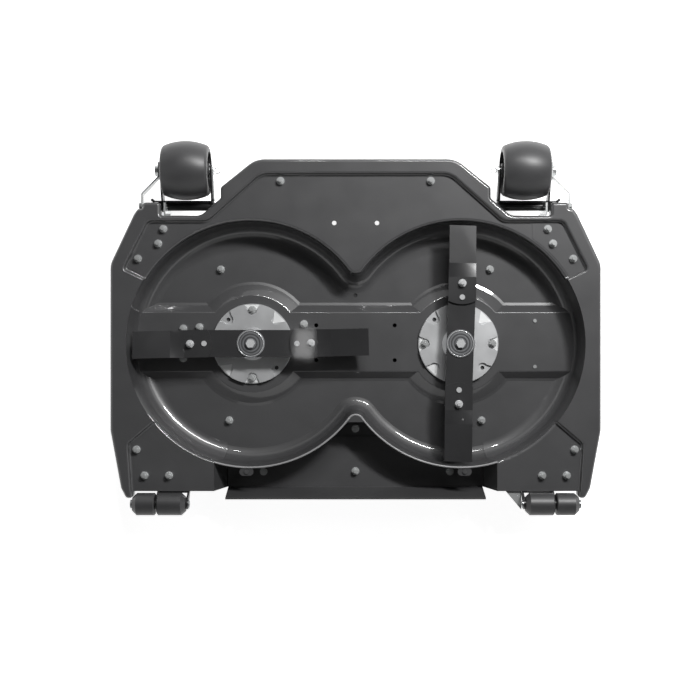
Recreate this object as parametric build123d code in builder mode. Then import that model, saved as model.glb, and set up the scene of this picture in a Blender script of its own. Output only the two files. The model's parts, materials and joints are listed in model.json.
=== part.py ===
"""Twin-blade rear-discharge mower deck, lying on its belt cover with the blade side up."""
import os
from math import atan2, cos, degrees, pi, radians, sin, sqrt, tan

from build123d import *

os.makedirs("parts", exist_ok=True)

# Sheet and levels, measured up from the face of the belt cover
sheet = 3.0
ceiling_z = 81.0
plateau_rise = 16.0
chamber_depth = 79.0
rim_rise = 12.0
lip_depth = 28.0
land_z = ceiling_z + chamber_depth
rim_z = land_z + rim_rise
lip_z = rim_z - lip_depth
plateau_z = ceiling_z + plateau_rise

# Spindles and chambers
spindle_half = 224.0
chamber_r = 262.0
wall_draft = 4.5
ceiling_round = 34.0
cusp_r = 18.0
mouth_round = 6.0

# Plateau for the belt channel and the spindle bosses
channel_y = 4.0
channel_foot = 80.0
channel_top = 64.0
boss_foot_r = 130.0
boss_top_r = 106.0
foot_flare = 6.0
foot_lift = 1.6
plateau_round = 4.0

# Outline of the rim, right half: front, wheel notch, corner lug, side, rear horn
half_width = 519.5
front_y = 391.0
rear_y = -313.5
front_half = 212.0
front_round = 55.0
notch_x = 286.0
notch_top_y = 331.0
notch_turn_y = 308.0
notch_foot_x = 328.0
notch_y = 271.0
lug_in_x = 413.0
lug_out_x = 451.0
lug_y = 299.0
lug_foot_y = 286.0
corner_x = 470.0
corner_y = 273.0
side_top_y = 168.0
side_bottom_y = -184.0
horn_x = 497.0
horn_y = -306.0
horn_tip_x = 486.0
horn_tip_y = -327.5
horn_in_x = 471.0
rim_round = 7.0

# Land pockets inside the rim band
band_front = 31.0
pocket_front_half = 201.0
pocket_notch_x = 313.0
pocket_notch_y = 260.0
pocket_corner_x = 440.0
pocket_side_x = 492.0
pocket_side_y = 157.0
pad_corner_x = 482.0
pad_corner_y = -212.0
pad_end_x = 470.0
pocket_foot_round = 5.0
pocket_mouth_round = 4.0

# Rear tunnel with its plate, plug and flap
tunnel_floor_half = 280.0
tunnel_top_half = 301.0
tunnel_front_y = -100.0
plate_front_y = -203.0
plate_thick = 3.0
plug_wall = 4.0
plug_gap = 0.4
web_back_y = -167.0
web_half = 60.0
tab_x = 232.0
tab_y = -272.5
tab_half = 15.0
tab_wide = 17.0
tab_drop = 8.0
tab_thick = 6.0
flap_thick = 4.0
flap_strip = 14.0
flap_lean = 15.0
flap_drop = 58.0
flap_half = 278.0

# Spindle and blade stack
disc_r = 87.0
disc_thick = 10.0
disc_bolt_r = 74.0
disc_pocket = 5.0
disc_pocket_r = 11.0
disc_pocket_half = 18.0
housing_r = 36.0
housing_gap = 2.0
nose_r = 28.5
nose_high = 19.0
shaft_r = 12.5
bearing_r = 23.5
bearing_wide = 12.0
running_gap = 0.05
adapter_r = 27.0
blade_z = 138.0
bar_thick = 8.0
bar_half = 138.0
bar_wide = 58.0
bar_round = 8.0
washer_r = 30.0
washer_thick = 4.0
blade_bolt_r = 6.0
blade_bolt_deep = 20.0
blade_bolt_head = 8.0
blade_bolt_across = 17.0
blade_tip_r = 252.0
wing_root_r = 84.0
wing_wide = 59.0
wing_thick = 5.0
wing_crease_r = 142.0
wing_flat_r = 172.0
wing_pitch = 11.0
wing_sweep = 1.5
wing_root_sag = 7.5
bevel_wide = 15.0
bevel_edge = 1.0
right_blade_turn = 88.0
shear_pin_r = 99.0
wing_bolt_r = 129.0
pin_head_r = 5.75
pin_head = 2.5

# Belt drive under the cover
pulley_teeth = 28
belt_pitch = 8.0
belt_wide = 21.0
tooth_drop = 0.7
tooth_groove = 2.4
belt_thick = 5.0
belt_gap = 0.4
pulley_z = 38.0
pulley_wide = 26.0
pulley_flange = 2.0
pulley_flange_r = 43.0
input_r = 60.0
input_wide = 20.0
input_groove = 12.0
pulley_nut_high = 8.0
pulley_nut_across = 32.0
shaft_stub = 2.5
cover_r = 140.0
cover_waist = 100.0
cover_wall = 3.0
cover_flange = 12.0
cover_lug_r = 14.0
cover_slot_half = 90.0

# Front wheels and their forks
wheel_x = 360.5
wheel_y = 368.0
wheel_z = 155.0
wheel_r = 62.5
wheel_wide = 99.5
wheel_face_r = 45.0
wheel_crown = 8.5
wheel_recess = 9.0
wheel_hub_r = 15.0
wheel_edge = 5.0
shoulder_in = 6.0
shoulder_mid = 0.32
axle_r = 8.0
axle_head_r = 12.5
axle_head = 6.5
fork_plate = 4.0
fork_gap = 1.5
fork_wide = 24.0
tube_r = 9.0
tube_y = 294.7
tube_z = 126.0
tube_in_x = 298.0
tube_out_x = 436.0
strap_thick = 3.0
strap_wide = 22.0
strap_foot_y = 316.0
stay_knee_y = 354.0
stay_turn_y = 318.0
stay_bolt_y = 294.0
gusset_x = 403.0
gusset_front_y = 299.0
flange_long = 15.0
rod_r = 3.0
rod_y = 304.0
rod_out_x = 431.0
rod_top_z = 165.0
gusset_low_z = 70.0
clip_r = 6.0
clip_wire_r = 1.2

# Rear rollers
roller_r = 23.5
roller_end_r = 15.0
roller_taper = 9.0
roller_y = -338.5
roller_z = 178.0
ear_in_x = 353.0
ear_mid_x = 417.5
roller_long = 47.5
gusset_long = 34.0
ear_thick = 4.0
ear_wide = 22.0
roller_gap = 0.5
roller_axle_r = 6.0

# Hangers on the hidden top side
hanger_x = 276.5
hanger_y = -168.0
hanger_base = 5.0
hanger_wide = 50.0
hanger_bore_r = 8.1
hanger_bore_z = 38.0
hanger_end_r = 18.0
hanger_back = 10.0

# Fasteners and holes
bolt_r = 4.0
rivet_r = 2.4
rivet_head_r = 3.9
screw_r = 3.0
screw_head_r = 4.5
screw_head = 3.0
bolt_flange_r = 8.5
bolt_flange = 2.5
nut_across = 13.0
nut_high = 6.0
stub_high = 5.0
head_high = 5.0
hole_gap = 0.4
corner_bolt_places = [(408, 243), (419, 212), (462, 180), (159.5, 345), (465, -225), (396, -280), (448, -280)]
cover_bolt_place = (295, 163)
channel_bolt_places = [(-375, 33), (-340, 36), (-375, -32), (-112, 43)]
channel_rivet_places = [(391, 50), (391, -50)]
channel_hole_places = [(85.5, 40), (-85.5, 40), (85.5, -36), (-85.5, -36)]
front_hole_half = 45.4
front_hole_y = 256.0
front_hole_r = 4.75
ceiling_hole_y = 106.0
chute_bolt_places = [(0, -279), (207, -280), (-201, -280)]
peak_bolt_place = (0, -186)


def finish(piece, name):
    """Label a finished piece and write it."""
    piece.label = name
    export_step(piece, f"parts/{name}.step")


def mirrored(places):
    """Places on both sides of the middle."""
    return [(side * x, y) for x, y in places for side in (1, -1)]


def both_sides(points):
    """Right-half outline points followed by their mirror images, as one closed run."""
    return [*points, *[(-x, y) for x, y in reversed(points)]]


def grown(points, radii, amount):
    """Clockwise outline moved outwards by an amount, with its corner radii to match."""
    moved = []
    rounds = []
    befores = points[-1:] + points[:-1]
    afters = points[1:] + points[:1]
    for before, here, after, radius in zip(befores, points, afters, radii):
        into = (Vector(*here) - Vector(*before)).normalized()
        away = (Vector(*after) - Vector(*here)).normalized()
        left = Vector(-into.Y, into.X) + Vector(-away.Y, away.X)
        step = left * (amount / (1 + into.dot(away)))
        moved.append((here[0] + step.X, here[1] + step.Y))
        convex = into.X * away.Y < into.Y * away.X
        rounds.append(radius + amount if convex else radius - amount)
    return moved, rounds


def outline(half, radii, grow=0.0):
    """Closed face from a right-half outline, with a radius at each corner, moved outwards by an amount."""
    corners, rounds = grown(both_sides(half), [*radii, *reversed(radii)], grow)
    with BuildSketch() as face:
        with BuildLine():
            FilletPolyline(*corners, radius=rounds, close=True)
        make_face()
    return face.sketch


def chamber_outline(radius, cusp):
    """The two overlapping chamber circles, with the cusps between them rounded."""
    lift = sqrt((radius + cusp) ** 2 - spindle_half**2)
    lean = degrees(atan2(lift, spindle_half))
    with BuildSketch() as face:
        with BuildLine():
            CenterArc((spindle_half, 0), radius, lean - 180, 360 - 2 * lean)
            CenterArc((0, lift), cusp, 180 + lean, 180 - 2 * lean)
            CenterArc((-spindle_half, 0), radius, lean, 360 - 2 * lean)
            CenterArc((0, -lift), cusp, lean, 180 - 2 * lean)
        make_face()
    return face.sketch


def chamber_form(grow):
    """Solid that fills both chambers up to the rim, grown by a wall thickness."""
    depth = rim_z - ceiling_z
    shrink = depth * tan(radians(wall_draft)) - grow
    with BuildPart() as form:
        with BuildSketch(Plane.XY.offset(ceiling_z - grow)):
            add(chamber_outline(chamber_r - shrink, cusp_r + shrink))
        extrude(amount=depth + grow, taper=-wall_draft)
        fillet(form.edges().group_by(Axis.Z)[0], radius=ceiling_round + grow)
    return form.part


def mouth_flare(face, top_z, radius):
    """Cutter that rounds over the mouth of a hollow of a given outline."""
    box = 4 * half_width
    with BuildPart() as block:
        with BuildSketch(Plane.XY.offset(top_z - 2 * radius)):
            Rectangle(box, box)
            add(face, mode=Mode.SUBTRACT)
        extrude(amount=2 * radius)
        top = block.faces().sort_by(Axis.Z)[-1]
        fillet([edge for wire in top.inner_wires() for edge in wire.edges()], radius=radius)
    with BuildPart() as cutter:
        with BuildSketch(Plane.XY.offset(top_z - 2 * radius)):
            Rectangle(box, box)
        extrude(amount=2 * radius)
        add(block.part, mode=Mode.SUBTRACT)
    return cutter.part


def tunnel_form(grow, back_y):
    """Solid that fills the rear tunnel from the chambers to a given rear plane."""
    depth = rim_z - ceiling_z
    flare = (tunnel_top_half - tunnel_floor_half) * depth / chamber_depth
    with BuildPart() as form:
        with BuildSketch(Plane.XZ.offset(-tunnel_front_y)):
            with BuildLine():
                Polyline(
                    (-tunnel_floor_half - grow, ceiling_z - grow),
                    (tunnel_floor_half + grow, ceiling_z - grow),
                    (tunnel_floor_half + flare + grow, rim_z),
                    (-tunnel_floor_half - flare - grow, rim_z),
                    close=True,
                )
            make_face()
        extrude(amount=tunnel_front_y - back_y)
    return form.part


def plateau_form(inset, low_z, half_long):
    """Belt channel and spindle bosses that stand up from the ceiling."""
    foot_z = ceiling_z - inset
    foot_half = channel_foot - inset
    top_half = channel_top - inset
    with BuildPart() as form:
        with BuildSketch(Plane.YZ):
            with BuildLine():
                Polyline(
                    (channel_y - foot_half - foot_flare, low_z),
                    (channel_y + foot_half + foot_flare, low_z),
                    (channel_y + foot_half + foot_flare, foot_z),
                    (channel_y + foot_half, foot_z + foot_lift),
                    (channel_y + top_half, foot_z + plateau_rise),
                    (channel_y - top_half, foot_z + plateau_rise),
                    (channel_y - foot_half, foot_z + foot_lift),
                    (channel_y - foot_half - foot_flare, foot_z),
                    close=True,
                )
            make_face()
        extrude(amount=half_long, both=True)
        for side in (1, -1):
            with BuildSketch(Plane(origin=(side * spindle_half, 0, 0), x_dir=(1, 0, 0), z_dir=(0, -1, 0))):
                with BuildLine():
                    Polyline(
                        (0, low_z),
                        (boss_foot_r - inset + foot_flare, low_z),
                        (boss_foot_r - inset + foot_flare, foot_z),
                        (boss_foot_r - inset, foot_z + foot_lift),
                        (boss_top_r - inset, foot_z + plateau_rise),
                        (0, foot_z + plateau_rise),
                        close=True,
                    )
                make_face()
            revolve(axis=Axis((side * spindle_half, 0, 0), (0, 0, 1)))
        top = form.faces().sort_by(Axis.Z)[-1]
        rim = [edge for edge in top.outer_wire().edges() if abs(edge.center().X) < half_long - 1]
        fillet(rim, radius=plateau_round if inset == 0 else plateau_round / 2)
    return form.part


def fasteners(places, face_z, grip, rise=nut_high):
    """Flange nuts with their bolts: flange, hexagon and stub above the face, head below the grip."""
    with BuildPart() as group:
        with BuildSketch(Plane.XY.offset(face_z)):
            with Locations(*places):
                Circle(bolt_flange_r)
        extrude(amount=bolt_flange)
        with BuildSketch(Plane.XY.offset(face_z + bolt_flange)):
            with Locations(*places):
                RegularPolygon(nut_across / 2, 6, major_radius=False)
        extrude(amount=rise)
        with BuildSketch(Plane.XY.offset(face_z - grip)):
            with Locations(*places):
                Circle(bolt_r)
        extrude(amount=grip + bolt_flange + rise + stub_high)
        with BuildSketch(Plane.XY.offset(face_z - grip)):
            with Locations(*places):
                RegularPolygon(nut_across / 2, 6, major_radius=False)
        extrude(amount=-head_high)
    return group.part


rim_half = [
    (front_half, front_y),
    (notch_x, notch_top_y),
    (notch_x, notch_turn_y),
    (notch_foot_x, notch_y),
    (lug_in_x, notch_y),
    (lug_in_x, lug_y),
    (lug_out_x, lug_y),
    (lug_out_x, lug_foot_y),
    (lug_out_x + 10, lug_foot_y),
    (corner_x, corner_y),
    (half_width, side_top_y),
    (half_width, side_bottom_y),
    (horn_x, horn_y),
    (horn_tip_x, horn_tip_y),
    (horn_in_x, horn_tip_y),
    (horn_in_x, rear_y),
]
rim_radii = [front_round, 8, 6, 25, 5, 7, 7, 3, 8, 22, 40, 45, 16, 8, 8, 3]
front_pocket = [
    (pocket_front_half, front_y - band_front),
    (pocket_notch_x, pocket_notch_y),
    (pocket_corner_x, pocket_notch_y),
    (pocket_side_x, pocket_side_y),
    (spindle_half + chamber_r * 0.75, chamber_r * 0.47),
    (spindle_half, chamber_r * 0.2),
]
front_pocket_radii = [45, 32, 16, 8, 8, 8]
rear_pocket = [
    (spindle_half, -chamber_r * 0.2),
    (spindle_half + chamber_r * 0.72, -chamber_r * 0.585),
    (pad_corner_x, pad_corner_y),
    (pad_end_x, rear_y - 3 * lip_depth),
]
rear_pocket_radii = [8, 8, 12, 8]


def pocket_faces(grow):
    """Front and rear land pockets, moved outwards by a wall thickness."""
    with BuildSketch() as face:
        add(outline(front_pocket, front_pocket_radii, grow))
        add(outline(rear_pocket, rear_pocket_radii, grow))
    return face.sketch


# Pressed shell: rim band with its lip, land pan, chambers and rear tunnel
with BuildPart() as rim_hollow:
    with BuildSketch(Plane.XY.offset(lip_z)):
        add(outline(rim_half, rim_radii, -sheet))
    extrude(amount=lip_depth - sheet)
    fillet(rim_hollow.edges().group_by(Axis.Z)[-1], radius=rim_round - sheet)

with BuildPart() as pockets:
    with BuildSketch(Plane.XY.offset(land_z)):
        add(pocket_faces(0.0))
    extrude(amount=2 * rim_rise)
    fillet(pockets.edges().group_by(Axis.Z)[0], radius=pocket_foot_round)
    add(mouth_flare(pocket_faces(0.0), rim_z, pocket_mouth_round))

with BuildPart() as pocket_zone:
    with BuildSketch(Plane.XY.offset(ceiling_z)):
        add(pocket_faces(0.0))
    extrude(amount=chamber_depth)

mouth_shrink = rim_rise * tan(radians(wall_draft))
with BuildPart() as hollows:
    add(chamber_form(0.0))
    add(tunnel_form(0.0, rear_y - flap_drop))
    add(plateau_form(0.0, 0.0, spindle_half + chamber_r), mode=Mode.SUBTRACT)

with BuildPart() as land_flare:
    add(mouth_flare(chamber_outline(chamber_r - mouth_shrink, cusp_r + mouth_shrink), land_z, mouth_round))
    add(pocket_zone.part, mode=Mode.INTERSECT)

with BuildPart() as deck_shell:
    with BuildSketch(Plane.XY.offset(lip_z)):
        add(outline(rim_half, rim_radii))
    extrude(amount=lip_depth)
    fillet(deck_shell.edges().group_by(Axis.Z)[-1], radius=rim_round)
    add(rim_hollow.part, mode=Mode.SUBTRACT)
    with BuildSketch(Plane.XY.offset(land_z - sheet)):
        add(pocket_faces(sheet))
        add(outline(rim_half, rim_radii, -sheet / 2), mode=Mode.INTERSECT)
    extrude(amount=rim_rise + sheet / 2)
    add(chamber_form(sheet))
    add(tunnel_form(sheet, rear_y))
    add(pockets.part, mode=Mode.SUBTRACT)
    add(hollows.part, mode=Mode.SUBTRACT)
    add(land_flare.part, mode=Mode.SUBTRACT)
    add(plateau_form(sheet, 0.0, spindle_half + chamber_r - 2 * ceiling_round), mode=Mode.SUBTRACT)
    with Locations((spindle_half, 0), (-spindle_half, 0)):
        Hole(housing_r + hole_gap)
        with PolarLocations(disc_bolt_r, 4):
            Hole(bolt_r + hole_gap)
    bolt_holes = mirrored([*corner_bolt_places, cover_bolt_place, (hanger_x, hanger_y)])
    with Locations(*bolt_holes, *channel_bolt_places, *chute_bolt_places, peak_bolt_place):
        Hole(bolt_r + hole_gap)
    with Locations(*channel_rivet_places):
        Hole(rivet_r + 0.1)
    with Locations(*channel_hole_places, (0, ceiling_hole_y)):
        Hole(bolt_r + hole_gap)
    with Locations((front_hole_half, front_hole_y), (-front_hole_half, front_hole_y)):
        Hole(front_hole_r)
    with Locations(Location((lug_out_x, stay_bolt_y, wheel_z), (0, 90, 0))):
        Cylinder(bolt_r + hole_gap, 6 * sheet, mode=Mode.SUBTRACT)
    with Locations(Location((-lug_out_x, stay_bolt_y, wheel_z), (0, 90, 0))):
        Cylinder(bolt_r + hole_gap, 6 * sheet, mode=Mode.SUBTRACT)
finish(deck_shell.part, "deck_shell")

# Mulching plug that closes the tunnel: wall on the chamber line, web at its peak, two screw tabs
with BuildPart() as mulch_plug:
    add(chamber_form(plug_wall))
    add(chamber_form(0.0), mode=Mode.SUBTRACT)
    add(tunnel_form(-plug_gap, rear_y), mode=Mode.INTERSECT)
    with BuildSketch(Plane.XY.offset(land_z)):
        Rectangle(4 * half_width, 4 * half_width)
    extrude(amount=2 * rim_rise, mode=Mode.SUBTRACT)
    with BuildSketch(Plane.XY.offset(land_z - sheet)):
        with Locations((0, web_back_y)):
            Rectangle(2 * web_half, web_half, align=(Align.CENTER, Align.MIN))
        add(chamber_outline(chamber_r, cusp_r), mode=Mode.SUBTRACT)
    extrude(amount=sheet)
    with BuildSketch(Plane.XY.offset(land_z - tab_drop)):
        with Locations(*mirrored([(tab_x, tab_y)])):
            SlotOverall(2 * tab_half, tab_wide)
        add(chamber_outline(chamber_r, cusp_r), mode=Mode.SUBTRACT)
    extrude(amount=tab_thick)
    with Locations(*mirrored([(tab_x, tab_y)])):
        Hole(screw_r + hole_gap)
finish(mulch_plug.part, "mulch_plug")

with BuildPart() as plug_screws:
    with BuildSketch(Plane.XY.offset(land_z - tab_drop + tab_thick)):
        with Locations(*mirrored([(tab_x, tab_y)])):
            Circle(screw_head_r)
    extrude(amount=screw_head)
    with BuildSketch(Plane.XY.offset(land_z - tab_drop + tab_thick)):
        with Locations(*mirrored([(tab_x, tab_y)])):
            Circle(screw_r)
    extrude(amount=-4 * tab_thick)
finish(plug_screws.part, "plug_screws")

# Wear plate on the roof of the tunnel, and the rubber flap behind it
with BuildPart() as chute_plate:
    with BuildSketch(Plane.XY.offset(ceiling_z)):
        with Locations((0, rear_y)):
            Rectangle(
                2 * (tunnel_floor_half - plug_gap),
                plate_front_y - rear_y,
                align=(Align.CENTER, Align.MIN),
            )
    extrude(amount=plate_thick)
    add(chamber_form(plug_wall + plug_gap), mode=Mode.SUBTRACT)
    with Locations(*chute_bolt_places):
        Hole(bolt_r + hole_gap)
finish(chute_plate.part, "chute_plate")

flap_low = ceiling_z - sheet
with BuildPart() as rear_flap:
    with BuildSketch(Plane.YZ):
        with BuildLine():
            Polyline(
                (rear_y, flap_low),
                (rear_y, flap_low + flap_strip),
                (rear_y - flap_lean, flap_low + flap_strip + flap_drop),
                (rear_y - flap_lean - flap_thick, flap_low + flap_strip + flap_drop),
                (rear_y - flap_thick, flap_low + flap_strip),
                (rear_y - flap_thick, flap_low),
                close=True,
            )
        make_face()
    extrude(amount=flap_half, both=True)
finish(rear_flap.part, "rear_flap")

# Fasteners in the shell
finish(fasteners(mirrored(corner_bolt_places), land_z, sheet), "corner_bolts")
with BuildPart() as chamber_bolts:
    add(fasteners(mirrored([cover_bolt_place]), ceiling_z, sheet + cover_wall))
    add(fasteners(mirrored([(hanger_x, hanger_y)]), ceiling_z, sheet + hanger_base))
    add(fasteners([peak_bolt_place], ceiling_z, sheet))
finish(chamber_bolts.part, "chamber_bolts")
finish(fasteners(channel_bolt_places, plateau_z, sheet), "channel_bolts")
finish(fasteners(chute_bolt_places, ceiling_z + plate_thick, sheet + plate_thick), "chute_bolts")

with BuildPart() as channel_rivets:
    with BuildSketch(Plane.XY.offset(plateau_z)):
        with Locations(*channel_rivet_places):
            Circle(rivet_head_r)
    extrude(amount=rivet_r)
    with BuildSketch(Plane.XY.offset(plateau_z - 2 * sheet)):
        with Locations(*channel_rivet_places):
            Circle(rivet_r)
    extrude(amount=2 * sheet)
finish(channel_rivets.part, "channel_rivets")

# Spindle housings with their bolts and bearings
disc_top = plateau_z + disc_thick
nose_top = disc_top + nose_high
housing_low = pulley_z + pulley_wide + housing_gap
seat_r = bearing_r + running_gap
pocket_long = disc_r - disc_bolt_r + 2
pocket_side = degrees(atan2(pocket_long, disc_pocket_half - disc_pocket_r))
for side, tag in ((-1, "left"), (1, "right")):
    x = side * spindle_half
    with BuildPart() as housing:
        with BuildSketch(Plane(origin=(x, 0, 0), x_dir=(1, 0, 0), z_dir=(0, -1, 0))):
            with BuildLine():
                Polyline(
                    (seat_r, housing_low),
                    (housing_r, housing_low),
                    (housing_r, plateau_z),
                    (disc_r, plateau_z),
                    (disc_r, disc_top - 1),
                    (disc_r - 1, disc_top),
                    (housing_r, disc_top),
                    (nose_r, disc_top + housing_r - nose_r),
                    (nose_r, nose_top),
                    (seat_r, nose_top),
                    (seat_r, nose_top - bearing_wide),
                    (bearing_r - 4, nose_top - bearing_wide),
                    (bearing_r - 4, housing_low + bearing_wide),
                    (seat_r, housing_low + bearing_wide),
                    close=True,
                )
            make_face()
        revolve(axis=Axis((x, 0, 0), (0, 0, 1)))
        with BuildSketch(Plane.XY.offset(disc_top)):
            with Locations((x, 0)):
                with PolarLocations(disc_bolt_r, 8):
                    Circle(disc_pocket_r)
                    with Locations((pocket_long, 0)):
                        Trapezoid(
                            2 * disc_pocket_half,
                            pocket_long,
                            pocket_side,
                            rotation=90,
                            align=(Align.CENTER, Align.MIN),
                        )
        extrude(amount=-disc_pocket, mode=Mode.SUBTRACT)
        with Locations((x, 0)):
            with PolarLocations(disc_bolt_r, 4):
                Hole(bolt_r + hole_gap)
            with PolarLocations(disc_bolt_r, 2, start_angle=135):
                Hole(bolt_r + hole_gap)
    finish(housing.part, f"spindle_housing_{tag}")

disc_bolt_places = [
    (side * spindle_half + disc_bolt_r * cos(turn * pi / 2), disc_bolt_r * sin(turn * pi / 2))
    for side in (1, -1)
    for turn in range(4)
]
finish(fasteners(disc_bolt_places, disc_top - disc_pocket, disc_thick - disc_pocket + sheet), "spindle_bolts")

with BuildPart() as spindle_bearings:
    for seat_z in (housing_low, nose_top - bearing_wide):
        with BuildSketch(Plane.XY.offset(seat_z)):
            with Locations((spindle_half, 0), (-spindle_half, 0)):
                Circle(bearing_r)
                Circle(shaft_r + running_gap, mode=Mode.SUBTRACT)
        extrude(amount=bearing_wide)
finish(spindle_bearings.part, "spindle_bearings")

# Blades, each with its shaft, pulley and fasteners
pulley_tip_r = pulley_teeth * belt_pitch / (2 * pi) - tooth_drop
bore_r = shaft_r + running_gap
input_z = pulley_z - input_wide - 2
wing_z = blade_z + bar_thick
root_x = wing_root_r - shear_pin_r
bevel = [
    (wing_wide / 2 + 1, -wing_thick / 2 - 1),
    (wing_wide / 2 + 1, wing_thick / 2 - bevel_edge),
    (wing_wide / 2, wing_thick / 2 - bevel_edge),
    (wing_wide / 2 - bevel_wide, -wing_thick / 2),
]
for side, tag, turn in ((-1, "left", 0.0), (1, "right", right_blade_turn)):
    x = side * spindle_half
    nut_z = (input_z if side < 0 else pulley_z) - pulley_nut_high
    axis = Axis((x, 0, 0), (0, 0, 1))
    upright = Plane(origin=(x, 0, 0), x_dir=(1, 0, 0), z_dir=(0, -1, 0))
    with BuildPart() as shaft:
        with BuildSketch(upright):
            with BuildLine():
                Polyline(
                    (0, nut_z - shaft_stub),
                    (shaft_r, nut_z - shaft_stub),
                    (shaft_r, nose_top + 1),
                    (adapter_r, nose_top + 1),
                    (adapter_r, blade_z),
                    (blade_bolt_r + running_gap, blade_z),
                    (blade_bolt_r + running_gap, blade_z - blade_bolt_deep - 1),
                    (0, blade_z - blade_bolt_deep - 1),
                    close=True,
                )
            make_face()
        revolve(axis=axis)
    finish(shaft.part, f"spindle_shaft_{tag}")

    with BuildPart() as pulley:
        with BuildSketch(Plane.XY.offset(pulley_z)):
            with Locations((x, 0)):
                Circle(pulley_tip_r)
                with PolarLocations(pulley_tip_r, pulley_teeth):
                    Rectangle(2 * tooth_groove, 2 * tooth_groove, mode=Mode.SUBTRACT)
        extrude(amount=pulley_wide)
        with BuildSketch(Plane.XY.offset(pulley_z), Plane.XY.offset(pulley_z + pulley_wide - pulley_flange)):
            with Locations((x, 0)):
                Circle(pulley_flange_r)
        extrude(amount=pulley_flange)
        with Locations((x, 0)):
            Hole(bore_r)
    finish(pulley.part, f"timing_pulley_{tag}")

    with BuildPart() as nut:
        with BuildSketch(Plane.XY.offset(nut_z)):
            with Locations((x, 0)):
                RegularPolygon(pulley_nut_across / 2, 6, major_radius=False)
                Circle(bore_r, mode=Mode.SUBTRACT)
        extrude(amount=pulley_nut_high)
    finish(nut.part, f"pulley_nut_{tag}")

    flat = Plane(origin=(x, 0, blade_z), x_dir=(cos(radians(turn)), sin(radians(turn)), 0), z_dir=(0, 0, 1))
    swept = radians(wing_sweep)
    bolt_out = wing_bolt_r - shear_pin_r
    bolt_spot = (shear_pin_r + bolt_out * cos(swept), bolt_out * sin(swept))
    bolt_spots = [bolt_spot, (-bolt_spot[0], -bolt_spot[1])]
    pin_spots = [(shear_pin_r, 0), (-shear_pin_r, 0)]
    with BuildPart() as bar:
        with BuildSketch(flat):
            RectangleRounded(2 * bar_half, bar_wide, bar_round)
            Circle(blade_bolt_r + running_gap, mode=Mode.SUBTRACT)
            with Locations(*bolt_spots, *pin_spots):
                Circle(bolt_r + hole_gap, mode=Mode.SUBTRACT)
        extrude(amount=bar_thick)
    finish(bar.part, f"blade_bar_{tag}")

    with BuildPart() as wings:
        for half_turn in (0, 180):
            pin_turn = radians(turn + half_turn)
            away = Vector(cos(pin_turn + swept), sin(pin_turn + swept), 0)
            across = Vector(-away.Y, away.X, 0)
            pin = Vector(x + shear_pin_r * cos(pin_turn), shear_pin_r * sin(pin_turn), wing_z)
            crease = Plane(pin + away * (wing_crease_r - shear_pin_r), x_dir=across, z_dir=away)
            outer = Plane(pin + away * (wing_flat_r - shear_pin_r), x_dir=across, z_dir=away)
            with BuildSketch(Plane(pin, x_dir=away, z_dir=(0, 0, 1))):
                with BuildLine():
                    Polyline(
                        (root_x + wing_root_sag, -wing_wide / 2),
                        (wing_crease_r - shear_pin_r, -wing_wide / 2),
                        (wing_crease_r - shear_pin_r, wing_wide / 2),
                        (root_x + wing_root_sag, wing_wide / 2),
                    )
                    ThreePointArc(
                        (root_x + wing_root_sag, wing_wide / 2),
                        (root_x, 0),
                        (root_x + wing_root_sag, -wing_wide / 2),
                    )
                make_face()
                Circle(bolt_r + hole_gap, mode=Mode.SUBTRACT)
                with Locations((bolt_out, 0)):
                    Circle(bolt_r + hole_gap, mode=Mode.SUBTRACT)
            extrude(amount=wing_thick)
            with BuildSketch(crease):
                with Locations((0, wing_thick / 2)):
                    Rectangle(wing_wide, wing_thick)
            with BuildSketch(outer):
                with Locations((0, wing_thick / 2)):
                    Rectangle(wing_wide, wing_thick, rotation=wing_pitch)
            loft(ruled=True)
            with BuildSketch(outer):
                with Locations((0, wing_thick / 2)):
                    Rectangle(wing_wide, wing_thick, rotation=wing_pitch)
            extrude(amount=blade_tip_r - wing_flat_r)
            with BuildSketch(outer.offset(bevel_wide / 2)):
                with Locations(Location((0, wing_thick / 2, 0), (0, 0, wing_pitch))):
                    Polygon(*bevel, align=None)
            extrude(amount=blade_tip_r - wing_flat_r, mode=Mode.SUBTRACT)
    finish(wings.part, f"blade_wings_{tag}")

    with BuildPart() as washer:
        with BuildSketch(Plane.XY.offset(wing_z)):
            with Locations((x, 0)):
                Circle(washer_r)
                Circle(blade_bolt_r + running_gap, mode=Mode.SUBTRACT)
        extrude(amount=washer_thick)
        chamfer(washer.edges().group_by(Axis.Z)[-1].sort_by(SortBy.LENGTH)[-1], length=washer_thick / 2)
    finish(washer.part, f"hub_washer_{tag}")

    with BuildPart() as blade_bolt:
        with BuildSketch(Plane.XY.offset(wing_z + washer_thick)):
            with Locations((x, 0)):
                RegularPolygon(blade_bolt_across / 2, 6, major_radius=False)
        extrude(amount=blade_bolt_head)
        with BuildSketch(Plane.XY.offset(wing_z + washer_thick)):
            with Locations((x, 0)):
                Circle(blade_bolt_r)
        extrude(amount=-washer_thick - bar_thick - blade_bolt_deep)
    finish(blade_bolt.part, f"blade_bolt_{tag}")

    world = [flat.from_local_coords(Vector(*spot)) for spot in bolt_spots]
    wing_bolts = fasteners([(spot.X, spot.Y) for spot in world], wing_z + wing_thick, wing_thick + bar_thick)
    finish(wing_bolts, f"wing_bolts_{tag}")

    with BuildPart() as pins:
        with BuildSketch(Plane(flat.origin + Vector(0, 0, bar_thick + wing_thick), flat.x_dir, (0, 0, 1))):
            with Locations(*pin_spots):
                Circle(pin_head_r)
        extrude(amount=pin_head)
        with BuildSketch(Plane(flat.origin + Vector(0, 0, -2), flat.x_dir, (0, 0, 1))):
            with Locations(*pin_spots):
                Circle(bolt_r)
        extrude(amount=bar_thick + wing_thick + 2)
    finish(pins.part, f"shear_pins_{tag}")

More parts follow.
